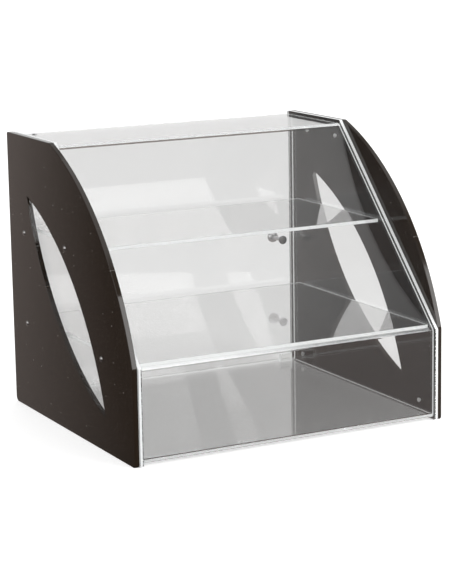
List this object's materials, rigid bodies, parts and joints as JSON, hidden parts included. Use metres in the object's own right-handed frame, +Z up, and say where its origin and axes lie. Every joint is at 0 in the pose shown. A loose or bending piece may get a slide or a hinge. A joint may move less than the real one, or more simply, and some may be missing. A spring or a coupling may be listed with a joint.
{
  "type": "bakery display case",
  "caption": "Countertop pastry case with a sloping clear front, shelves on side pins, curved dark side panels with leaf cut-outs and a hinged rear door.",
  "frame": {"origin": "middle of the whole case's footprint, on the surface that it stands on", "axes": "+X to the right seen from the front, -Y out of the front, +Y out of the rear door, +Z up"},
  "size_m": [0.4806, 0.4392, 0.4],
  "materials": {
    "dark_acrylic": "polished dark brown cast acrylic",
    "clear_acrylic": "clear polished cast acrylic",
    "chrome": "polished",
    "steel": "bright stainless",
    "nylon": "natural nylon"
  },
  "bodies": {
    "case": {"side_panel_left": "dark_acrylic", "side_panel_right": "dark_acrylic", "clear_side_left": "clear_acrylic", "clear_side_right": "clear_acrylic", "clear_shell": "clear_acrylic", "upper_shelf": "clear_acrylic", "lower_shelf": "clear_acrylic", "front_rail": "clear_acrylic", "door_stop": "clear_acrylic", "hinge_pin_top": "steel", "hinge_pin_bottom": "steel", "hinge_washer_top": "nylon", "hinge_washer_bottom": "nylon", "panel_screws_left": "steel", "panel_screws_right": "steel", "shelf_pins_upper_left": "chrome", "shelf_sleeves_upper_left": "steel", "shelf_pins_upper_right": "chrome", "shelf_sleeves_upper_right": "steel", "shelf_pins_lower_left": "chrome", "shelf_sleeves_lower_left": "steel", "shelf_pins_lower_right": "chrome", "shelf_sleeves_lower_right": "steel"},
    "door": {"rear_door": "clear_acrylic", "door_knob": "chrome", "knob_washer": "chrome", "knob_screw": "chrome"}
  },
  "joints": [
    {"name": "door_hinge", "type": "hinge", "parent": "case", "child": "door", "pos_m": [-0.2017, 0.17988, 0.2], "axis": [0, 0, 1], "range_deg": [0, 135]}
  ]
}
